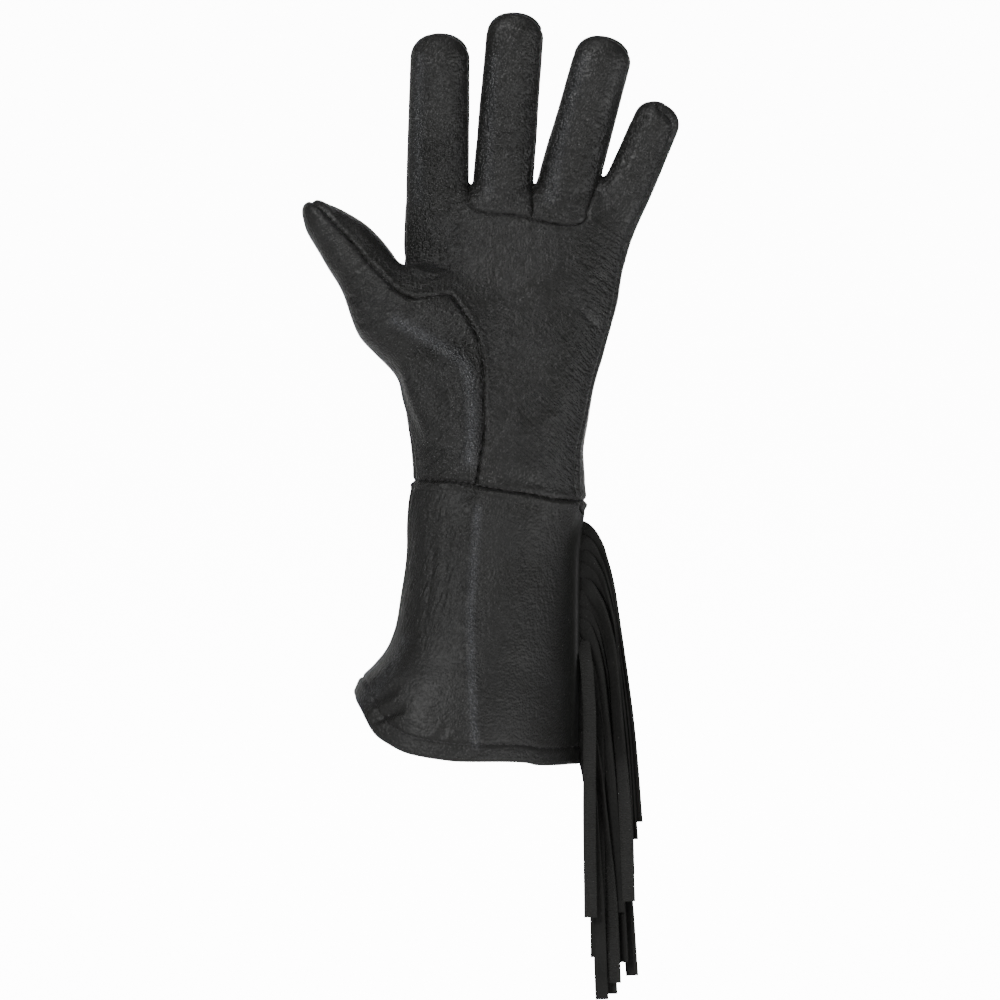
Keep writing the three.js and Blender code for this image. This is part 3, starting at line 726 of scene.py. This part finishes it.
# Where the pebbled grain stands out more: middle and reach in pixels, and how much more.
COARSE = [
    (424, 120, 26, 90, 1.0),
    (440, 160, 34, 60, 0.9),
    (500, 120, 26, 80, 0.7),
    (556, 130, 40, 80, 0.8),
    (650, 160, 40, 60, 0.5),
    (436, 240, 44, 50, 1.1),
    (450, 350, 50, 34, 1.4),
    (474, 420, 14, 70, 1.2),
    (424, 456, 30, 30, 1.2),
    (540, 350, 50, 40, 0.5),
    (474, 600, 10, 140, 1.2),
]
# Bands of painted highlight, where the base colour is lightened and the leather is made less rough:
# width in millimetres, how much, then x and y of each point, in pixels.
PAINTED_HIGHLIGHT_BANDS = [
    (2.6, 1.0, 398, 322, 418, 334, 440, 347, 462, 362, 470, 384, 472, 420, 470, 462),
    (1.8, 1.0, 478, 508, 474, 560, 471, 620, 473, 700, 476, 742),
    (2.4, 0.6, 420, 60, 418, 120, 418, 200),
    (2.4, 0.5, 494, 60, 490, 120, 488, 190),
    (3.0, 0.6, 582, 60, 566, 120, 550, 200),
    (3.4, 0.5, 362, 700, 384, 676, 404, 640),
]


def highlight_and_gloss_strength(points):
    """How strongly the painted highlight lightens the leather's colour, and makes it less rough, at
    each place.
    """
    x, y, z = points.T
    total = np.zeros(len(points))
    front = y < side_seam(x, z)
    for wide, strength, *line in PAINTED_HIGHLIGHT_BANDS:
        path = rounded_line(from_photo(line), pieces=3)
        far = line_distance(x[front], z[front], path, endless=False)[0]
        total[front] = np.maximum(total[front], strength * bump(far, wide))
    return total


def spots(x, z, rows):
    """How much each row of spots counts at each place."""
    for middle_x, middle_y, wide, high, *_ in rows:
        aside = (x - (middle_x - MIDDLE_PIXEL[0]) * PIXEL) / (wide * PIXEL)
        above = (z - (MIDDLE_PIXEL[1] - middle_y) * PIXEL) / (high * PIXEL)
        yield np.exp(-(aside**2) - above**2)


def leather_marks(points):
    """What the leather's material reads at each place, by name."""
    x, y, z = points.T
    grain = 0.8 + sum(row[-1] * spot for row, spot in zip(COARSE, spots(x, z, COARSE)))
    grain *= 1 - 0.8 * ramp(x, SEAM_EDGE - 4, SEAM_EDGE - 1) * ramp(-z, 10, 14)
    best = np.full(len(points), 0.12)
    next_best = best.copy()
    strength = np.zeros(len(points))
    place = np.zeros((len(points), 3))
    for row, spot in zip(WRINKLES, spots(x, z, WRINKLES)):
        angle = math.radians(row[4])
        chosen = spot > best
        next_best = np.where(chosen, best, np.maximum(next_best, spot))
        best[chosen] = spot[chosen]
        strength[chosen] = row[-1] * ramp(spot[chosen], 0.12, 0.6)
        across = z * math.cos(angle) - x * math.sin(angle)
        along = x * math.cos(angle) + z * math.sin(angle)
        here = np.stack([across, 0.2 * along, 0.3 * y], 1)
        place[chosen] = here[chosen]
    return {
        "grain": grain,
        "wrinkled": strength * ramp(best - next_best, 0, 0.2),
        "wrinkle_place": place,  # across the wrinkles and along them
        # Painted highlight in the colour, and less roughness, along the bands of shine.
        "gloss_and_painted_highlight": highlight_and_gloss_strength(points),
        "matt": ramp(-z, -2, 6),  # the cuff is less shiny than the hand
    }


def seam_distance(x, y, z):
    """How far the nearest seam lies."""
    fork = fork_distance(x, y, z)
    others = [np.abs(seam(x, y, z)) for seam in SEAMS if seam is not fork_distance]
    others = np.where(fork < 0, NO_SEAM, np.min(others, axis=0))
    return np.minimum(others, np.abs(fork))


def relief(points):
    """How far the leather stands out from the smooth skin."""
    x, y, z = points.T
    seam = seam_distance(x, y, z)
    height = 0.22 * bump(seam - 2.3, 1.3) - 0.75 * bump(seam, 0.7)
    height += 0.5 * bump(thumb_distance(x, y, z) - 1.7, 1.1)
    height += 0.7 * bump(wrist_distance(x, y, z) + 1.9, 1.2)
    calm = ramp(seam, 1, 6)
    lively = 1 - 0.8 * ramp(-z, -2, 6)
    height += calm * lively * (0.4 * noise(points, 21, 1) + 0.16 * noise(points, 9, 2))
    height += (0.25 + 0.75 * calm) * lively * 0.07 * noise(points, 3.6, 3)
    height += folds(x, y, z)
    hem = hem_distance(x, y, z)
    height += 0.35 * ramp(hem, HEM_TURN, HEM_TURN - 2) - 0.5 * bump(hem - HEM_TURN, 0.7)
    return height


SEAMS = [
    side_distance, wrist_distance, thumb_distance, thumb_back_distance, root_distance,
    middle_ring_distance, fork_distance,
]
GRID_LOW = (-90.0, -52.0, -126.0)
GRID_HIGH = (86.0, 50.0, 212.0)
points, triangles = wrap_skin(GRID_LOW, GRID_HIGH, SKIN_STEP)
for seam in SEAMS:
    for offset in SEAM_CUTS:
        points, triangles = split_along(points, triangles, seam(*points.T) - offset)
for offset in (0.0, HEM_TURN - 0.7, HEM_TURN, HEM_TURN + 0.7):
    points, triangles = split_along(points, triangles, hem_distance(*points.T) - offset)

slope = field_slope(points)
normals = unit(slope)
outside = points + normals * relief(points)[:, None]
hem = hem_distance(*points.T)
wall = LEATHER * (1 + ramp(hem, HEM_TURN + 0.5, HEM_TURN - 0.5))
lining = outside - normals * wall[:, None]

marks = leather_marks(points)
centres = points[triangles].mean(axis=1)
panel_of = find_panels(*centres.T)
panel_of[hem_distance(*centres.T) < 0] = ""


def keep(made, name, values):
    """Keeps a number or a place for each corner of a mesh, for its material."""
    kind, key = ("FLOAT", "value") if values.ndim == 1 else ("FLOAT_VECTOR", "vector")
    kept = made.data.attributes.new(name, kind, "POINT").data
    kept.foreach_set(key, values.astype(np.float32).ravel())


def placed(name, data):
    made = bpy.data.objects.new(name, data)
    bpy.context.scene.collection.objects.link(made)
    return made


def make_object(name, verts, faces):
    mesh = bpy.data.meshes.new(name)
    mesh.from_pydata((np.asarray(verts) * UNIT).tolist(), [], np.asarray(faces).tolist())
    mesh.validate()
    mesh.polygons.foreach_set("use_smooth", [True] * len(mesh.polygons))
    mesh.set_sharp_from_angle(angle=math.radians(60))
    made = placed(name, mesh)
    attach(made, "root")
    return made


def closed_panel(name):
    """Outer face, inner face and rolled edge of one panel."""
    chosen = triangles[panel_of == name]
    used, local = np.unique(chosen, return_inverse=True)
    local = local.reshape(-1, 3)
    count = len(used)
    outer, inner = outside[used], lining[used]
    edges = local[:, [[0, 1], [1, 2], [2, 0]]].reshape(-1, 2)
    code = edges[:, 0] * count + edges[:, 1]
    rim = edges[~np.isin(code, edges[:, 1] * count + edges[:, 0])]
    ends, rim = np.unique(rim, return_inverse=True)
    rim = rim.reshape(-1, 2)
    at_hem = np.abs(hem[used][ends]) < 0.05
    out = normals[used][ends]
    down = unit(np.array([0, 0, -1.0]) + out * out[:, 2:])
    verts = [outer, inner]
    source = [used, used]
    rows = [ends]
    for turn in (0.2, 0.5, 0.8):
        share = (1 - math.cos(math.pi * turn)) / 2
        bulge = np.where(at_hem, LEATHER * math.sin(math.pi * turn), 0)[:, None]
        verts.append(outer[ends] * (1 - share) + inner[ends] * share + down * bulge)
        source.append(used[ends])
        rows.append(2 * count + (len(rows) - 1) * len(ends) + np.arange(len(ends)))
    rows.append(ends + count)
    faces = [local, local[:, ::-1] + count]
    a, b = rim.T
    for top, low in zip(rows, rows[1:]):
        faces.append(np.stack([top[b], top[a], low[a]], 1))
        faces.append(np.stack([top[b], low[a], low[b]], 1))
    made = make_object(name + "_leather", np.concatenate(verts), np.concatenate(faces))
    source = np.concatenate(source)
    for mark, values in marks.items():
        keep(made, mark, values[source])
    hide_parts(name)
    return made


PANELS = [
    "palm_panel", "middle_front", "ring_front", "thumb_panel", "back_panel",
    "fork_index_middle", "fork_middle_ring", "fork_ring_little", "cuff_front", "cuff_back",
]
panels = [closed_panel(name) for name in PANELS]


def spline(points, steps):
    """Evenly spaced points on a smooth curve through a few, with their distances."""
    points = np.asarray(points, float)
    ends = np.vstack([2 * points[0] - points[1], points, 2 * points[-1] - points[-2]])
    fine = []
    for a, b, c, d in zip(ends, ends[1:], ends[2:], ends[3:]):
        t = np.linspace(0, 1, 40, endpoint=False)[:, None]
        fine.append(curve_at(a, b, c, d, t))
    fine = np.vstack(fine + [points[-1:]])
    at = np.linspace(0, run_of(fine)[-1], steps)
    return points_along(fine, at), at


def tube_faces(rings, sides):
    """Faces of a closed run of rings with flat ends."""
    faces = []
    last = (rings - 1) * sides
    for low in range(0, last, sides):
        for s in range(sides):
            n = (s + 1) % sides
            a, b, c, d = low + s, low + n, low + sides + n, low + sides + s
            faces += [(a, b, c), (a, c, d)]
    for s in range(1, sides - 1):
        faces += [(0, s + 1, s), (last, last + s, last + s + 1)]
    return np.array(faces)


# Strips that show their ribbed face, and the share of their length from which they do.
RIBBED = {4: 0.62, 8: 0.0, 14: 0.6}
strip_places = []
ribbed_strips = []


def ribbon(index):
    """One cut strip of the fringe, from the seam to its square end."""
    reach, *end, turn, end_turn = STRIPS[index]
    end_x, end_z, depth = (share * HAND for share in end)
    turn, end_turn = math.radians(turn), math.radians(end_turn)
    top = FRINGE_TOP - STRIP_PITCH * index
    out = SEAM_EDGE + 2.0
    rng = np.random.default_rng(100 + index)
    sway = rng.uniform(-1, 1, 6)
    route = [(SEAM_EDGE - 3.2, 0, top), (out, 0, top - 0.3)]
    for step, (drop, away) in enumerate(FALL, 1):
        back = depth * step / len(FALL)
        route.append((out + reach * away * HAND, back, top - drop * HAND))
    low_x, _, low_z = route[-1]
    route.append((low_x + 0.68 * (end_x - low_x), depth, low_z + 0.5 * (end_z - low_z)))
    route.append((end_x, depth, end_z))
    middle, run = spline(route, STRIP_STEPS)
    ahead = unit(np.gradient(middle, run, axis=0))
    share = run / run[-1]
    middle[:, 0] += 0.5 * sway[0] * np.sin(share * 7 + sway[1] * 3) * share
    middle[:, 1] += 1.0 * sway[2] * np.sin(share * 6 + sway[3] * 3) * share
    across = unit(np.cross([0, 1.0, 0], ahead))
    thick = np.cross(ahead, across)
    angle = turn * ramp(run, 4, 26) + (end_turn - turn) * ramp(share, 0.45, 0.95)
    angle += 0.12 * sway[4] * np.sin(share * 9 + sway[5] * 3) * share
    cos, sin = np.cos(angle)[:, None], np.sin(angle)[:, None]
    wide, deep = across * cos + thick * sin, thick * cos - across * sin
    root = 1 - ramp(run, 5, 13)
    half = (STRIP_WIDTH / 2 + root * 0.5)[:, None]
    thin = FRINGE_LEATHER / 2
    middle[:, 1] += root * 0.35 * (-1) ** index
    curl = 0.22 * sway[1] * ramp(run, 10, 40)[:, None]
    section = [(-1, -0.9), (-0.97, -1), (-0.45, -1), (0.0, -1), (0.45, -1), (0.97, -1), (1, -0.9)]
    section += [(u, -v) for u, v in section[::-1]]
    edges = [
        middle + wide * (u * half) + deep * (v * thin) + deep * (curl * (u * u - 0.4))
        for u, v in section
    ]
    verts = np.stack(edges, 1).reshape(-1, 3)
    sides = len(section)
    along = np.repeat(run, sides)
    beside = np.tile([u for u, v in section], STRIP_STEPS) * STRIP_WIDTH / 2
    strip_places.append(np.stack([along, beside, 0 * along + 40.0 * index], 1))
    start = RIBBED.get(index, 2.0)
    ribbed_strips.append(np.repeat(ramp(share, start - 0.06, start), sides))
    return verts, tube_faces(STRIP_STEPS, sides)


def header():
    """The band of the fringe held in the side seam."""
    low = FRINGE_TOP - STRIP_PITCH * (len(STRIPS) - 1) - STRIP_WIDTH / 2
    high = FRINGE_TOP + STRIP_WIDTH / 2
    near, far, thin = SEAM_EDGE - 3.4, SEAM_EDGE + 1.6, FRINGE_LEATHER / 2
    ring = [(near, -thin), (far, -thin), (far, thin), (near, thin)]
    verts = np.array([(x, y, z) for z in (low, high) for x, y in ring])
    strip_places.append(verts)
    ribbed_strips.append(np.zeros(len(verts)))
    return verts, tube_faces(2, 4)


def gathered(pieces):
    """Several closed pieces as one list of corners and faces."""
    verts, faces, total = [], [], 0
    for points_of, faces_of in pieces:
        verts.append(points_of)
        faces.append(faces_of + total)
        total += len(points_of)
    return np.concatenate(verts), np.concatenate(faces)


fringe_pieces = [ribbon(i) for i in range(len(STRIPS))] + [header()]
fringe = make_object("fringe_strips", *gathered(fringe_pieces))
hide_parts("fringe")
keep(fringe, "strip_place", np.concatenate(strip_places))
keep(fringe, "ribbed", np.concatenate(ribbed_strips))


def surface_at(x, z, side):
    """Places on the leather over (x, z): side is -1 for the palm and 1 for the back."""
    near = np.zeros(x.shape)
    far = np.full(x.shape, 60.0 * side)
    for _ in range(30):
        middle = (near + far) / 2
        within_skin = skin_field(x, middle, z) < 0
        near, far = np.where(within_skin, middle, near), np.where(within_skin, far, middle)
    at = np.stack([x, near, z], 1)
    out = unit(field_slope(at))
    return at + out * relief(at)[:, None], out


def stitches(name, line, pitch, long, thick, side, lift):
    """A row of thread stitches lying along a seam."""
    at = np.arange(pitch, run_of(line)[-1], pitch)
    x, z = points_along(line, at).T
    ahead = points_along(line, at + 0.5) - points_along(line, at)
    places, out = surface_at(x, z, side)
    inside_skin = skin_field(x, np.zeros(x.shape), z) < -2.5
    sides, rings = 6, 5
    pieces = []
    for place, up, (dx, dz) in zip(places[inside_skin], out[inside_skin], ahead[inside_skin]):
        along = np.array([dx, 0, dz])
        along = unit(along - up * (along @ up))
        cross = np.cross(up, along)
        verts = []
        for t in np.linspace(-1, 1, rings):
            radius = thick / 2 * (1 - 0.75 * t**4)
            middle = place + along * (t * long / 2) + up * (lift - 0.35 * t * t)
            for k in range(sides):
                a = 2 * math.pi * k / sides
                verts.append(middle + radius * (cross * math.cos(a) + up * math.sin(a)))
        pieces.append((np.array(verts), tube_faces(rings, sides)))
    made = make_object(name, *gathered(pieces))
    return made


def shifted(line, sideways):
    """A line moved to its left by a distance."""
    ahead = unit(np.gradient(line, axis=0))
    return line + sideways * np.stack([-ahead[:, 1], ahead[:, 0]], 1)


threads = []
wrist_row = shifted(WRIST_LINE, 0.6)
hem_row = shifted(HEM_LINE, HEM_TURN)
for side, where in ((-1, "front"), (1, "back")):
    threads.append(stitches("wrist_stitches_" + where, wrist_row, 2.7, 1.9, 0.5, side, 0.1))
    threads.append(stitches("hem_stitches_" + where, hem_row, 2.9, 2.2, 0.55, side, 0.15))


class Nodes:
    """Short calls for building one material."""

    def __init__(self, name):
        self.material = bpy.data.materials.new(name)
        self.material.use_nodes = True
        self.tree = self.material.node_tree
        self.shader = self.tree.nodes["Principled BSDF"]
        self.place = self.new("TexCoord").outputs["Object"]

    def new(self, kind, **values):
        made = self.tree.nodes.new("ShaderNode" + kind)
        for key, value in values.items():
            setattr(made, key, value)
        return made

    def link(self, source, node, socket):
        self.tree.links.new(source, node.inputs[socket])

    def texture(self, kind, scale, place=None, output=0, **inputs):
        made = self.new("Tex" + kind)
        self.link(place or self.place, made, "Vector")
        made.inputs["Scale"].default_value = scale
        for key, value in inputs.items():
            made.inputs[key].default_value = value
        return made.outputs[output]

    def kept(self, name, output="Fac"):
        return self.new("Attribute", attribute_name=name).outputs[output]

    def vector(self, operation, a, b):
        made = self.new("VectorMath", operation=operation)
        self.link(a, made, 0)
        if operation == "SCALE":
            made.inputs["Scale"].default_value = b
        else:
            self.link(b, made, 1)
        return made.outputs[0]

    def span(self, source, low=0.3, high=0.7, to_low=0, to_high=1):
        made = self.new("MapRange")
        self.link(source, made, 0)
        for k, value in enumerate((low, high, to_low, to_high), 1):
            made.inputs[k].default_value = value
        return made.outputs[0]

    def fixed(self, name, value):
        self.shader.inputs[name].default_value = value

    def product(self, *parts):
        return self.sum(*parts, operation="MULTIPLY")

    def sum(self, *parts, operation="ADD"):
        total = parts[0]
        for part in parts[1:]:
            made = self.new("Math", operation=operation)
            self.link(total, made, 0)
            if isinstance(part, float):
                made.inputs[1].default_value = part
            else:
                self.link(part, made, 1)
            total = made.outputs[0]
        return total

    def bumped(self, height, distance):
        made = self.new("Bump")
        made.inputs["Strength"].default_value = 1.0
        made.inputs["Distance"].default_value = distance
        self.link(height, made, "Height")
        self.link(made.outputs[0], self.shader, "Normal")

    def tinted(self, source, dark, light):
        made = self.new("Mix", data_type="RGBA")
        self.link(source, made, 0)
        made.inputs[6].default_value = (*dark, 1)
        made.inputs[7].default_value = (*light, 1)
        self.link(made.outputs[2], self.shader, "Base Color")


def glove_leather():
    """Black goatskin with a pebbled grain, fine wrinkles, a soft sheen and painted highlights in
    its colour along bands of shine.
    """
    n = Nodes("black_leather")
    wander = n.vector("SCALE", n.texture("Noise", 260, output=1), 0.0009)
    place = n.vector("ADD", n.place, wander)
    pebbles = n.span(n.texture("Voronoi", 900, place), 0.1, 0.75, 1, 0)
    large = n.span(n.texture("Voronoi", 480, place), 0.1, 0.8, 1, 0)
    fine = n.span(n.texture("Noise", 1700, Detail=2.0))
    patches = n.span(n.texture("Noise", 130, Detail=3.0), 0.35, 0.7, 0.75, 1.25)
    pebbled = n.sum(pebbles, n.product(large, 0.6), n.product(fine, 0.2))
    pebbled = n.product(pebbled, n.kept("grain"), patches)
    bent = n.vector("ADD", n.kept("wrinkle_place", "Vector"), n.vector("SCALE", wander, 700.0))
    lines = n.span(n.texture("Noise", 0.85, bent, Detail=3.0))
    wrinkles = n.product(lines, n.kept("wrinkled"), 2.2)
    n.bumped(n.sum(pebbled, wrinkles), 0.00024)
    broad = n.texture("Noise", 55, Detail=4.0)
    # Painted highlights: along the bands, the pebbles lighten the base colour toward the pale
    # bluish end of the mix, as glints of light.
    painted_glints = n.product(n.span(pebbles, 0.3, 0.9, 0.25, 1), n.kept("gloss_and_painted_highlight"))
    shade = n.sum(n.span(broad, 0.3, 0.7, 0, 0.08), n.product(painted_glints, 1.1))
    # The dark end is the leather's black. The light end is the colour of the painted highlights,
    # and the broad noise adds random tone.
    n.tinted(shade, (0.0082, 0.0084, 0.0075), (0.055, 0.057, 0.062))
    # The bands of painted highlight are also a little less rough.
    glossier = n.product(n.kept("gloss_and_painted_highlight"), -0.12)
    duller = n.product(n.kept("matt"), 0.09)
    n.link(n.sum(n.span(broad, 0.3, 0.7, 0.34, 0.42), glossier, duller), n.shader, "Roughness")
    n.fixed("Specular IOR Level", 0.36)
    return n.material


def fringe_leather():
    """Matt black leather, paler and cross-ribbed on the strips that show the other face."""
    n = Nodes("matt_black_leather")
    fine = n.texture("Noise", 900, Detail=3.0)
    broad = n.texture("Noise", 60, Detail=2.0)
    ribbed = n.kept("ribbed")
    ribs = n.new("TexWave", wave_type="BANDS", bands_direction="X", wave_profile="SIN")
    n.link(n.kept("strip_place", "Vector"), ribs, "Vector")
    shape = {"Scale": 0.42, "Distortion": 1.6, "Detail": 2.0, "Detail Scale": 1.5}
    for key, value in shape.items():
        ribs.inputs[key].default_value = value
    raised = n.product(ribs.outputs[1], ribbed, 0.8)
    n.bumped(n.sum(fine, raised), 0.0003)
    shade = n.sum(n.span(broad, 0.3, 0.7, 0, 0.35), n.product(ribbed, 0.65))
    n.tinted(shade, (0.0095, 0.0095, 0.0087), (0.024, 0.024, 0.023))
    n.fixed("Roughness", 0.75)
    n.fixed("Specular IOR Level", 0.2)
    return n.material


def thread():
    n = Nodes("black_thread")
    twist = n.texture("Noise", 1200, Detail=2.0)
    n.bumped(twist, 0.0001)
    n.tinted(twist, (0.012, 0.012, 0.012), (0.03, 0.03, 0.03))
    n.fixed("Roughness", 0.6)
    return n.material


def white_paper():
    """The backdrop, which is lit from within and brightest behind the glove."""
    n = Nodes("white_paper")
    n.fixed("Base Color", (0.9, 0.9, 0.9, 1))
    n.fixed("Roughness", 0.9)
    n.fixed("Specular IOR Level", 0.1)
    n.fixed("Emission Color", (1, 1, 1, 1))
    away = n.new("VectorMath", operation="DISTANCE")
    n.link(n.place, away, 0)
    away.inputs[1].default_value = (0, WALL, 0)
    n.link(n.span(away.outputs["Value"], 0.75, 1.2, 12.0, 0.3), n.shader, "Emission Strength")
    return n.material


dressed = [(panels, glove_leather()), ([fringe], fringe_leather()), (threads, thread())]
for pieces, material in dressed:
    for piece in pieces:
        piece.data.materials.append(material)

# A white floor that curves up into a white wall, well below and behind the glove.
FLOOR = -0.8
WALL = 5.0
sweep = [(-5.0, FLOOR), (WALL - 0.5, FLOOR)]
for step in range(13):
    a = math.pi / 2 * step / 12
    sweep.append((WALL - 0.5 + 0.5 * math.sin(a), FLOOR + 0.5 - 0.5 * math.cos(a)))
sweep.append((WALL, 4.0))
backdrop = bpy.data.meshes.new("studio_sweep")
corners = [(x, y, z) for y, z in sweep for x in (-5.0, 5.0)]
strips = [(2 * i, 2 * i + 1, 2 * i + 3, 2 * i + 2) for i in range(len(sweep) - 1)]
backdrop.from_pydata(corners, [], strips)
backdrop.polygons.foreach_set("use_smooth", [True] * len(backdrop.polygons))
studio = placed("studio_sweep", backdrop)
studio.data.materials.append(white_paper())


def area_light(name, place, aim, size, power):
    lamp = bpy.data.lights.new(name, "AREA")
    lamp.shape = "RECTANGLE"
    lamp.size, lamp.size_y = size
    lamp.energy = power
    made = placed(name, lamp)
    made.location = place
    made.rotation_euler = (Vector(aim) - Vector(place)).to_track_quat("-Z", "Y").to_euler()


area_light("key", (-1.1, -1.6, 0.9), (0, 0, 0), (0.7, 0.7), 29)
area_light("fill", (1.7, -1.6, -0.6), (0, 0, -0.1), (0.8, 1.2), 34)
area_light("top", (0, -0.8, 2.0), (0, 0, 0), (1.2, 0.7), 10)

world = bpy.data.worlds.new("white_room")
bpy.context.scene.world = world
world.use_nodes = True
background = world.node_tree.nodes["Background"]
background.inputs["Color"].default_value = (1, 1, 1, 1)
background.inputs["Strength"].default_value = 0.2

# The camera looks straight at the palm, and its frame is 1000 pixels of the photograph wide.
CAMERA_AWAY = 4.0
FRAME_WIDTH = 1000 * PIXEL * UNIT
lens = bpy.data.cameras.new("camera")
lens.sensor_width = 36
lens.lens = lens.sensor_width * CAMERA_AWAY / FRAME_WIDTH
lens.clip_end = 50
camera = placed("camera", lens)
camera.location = (0.00088, -CAMERA_AWAY, -0.0066)
camera.rotation_euler = (math.pi / 2, 0, 0)
bpy.context.scene.camera = camera
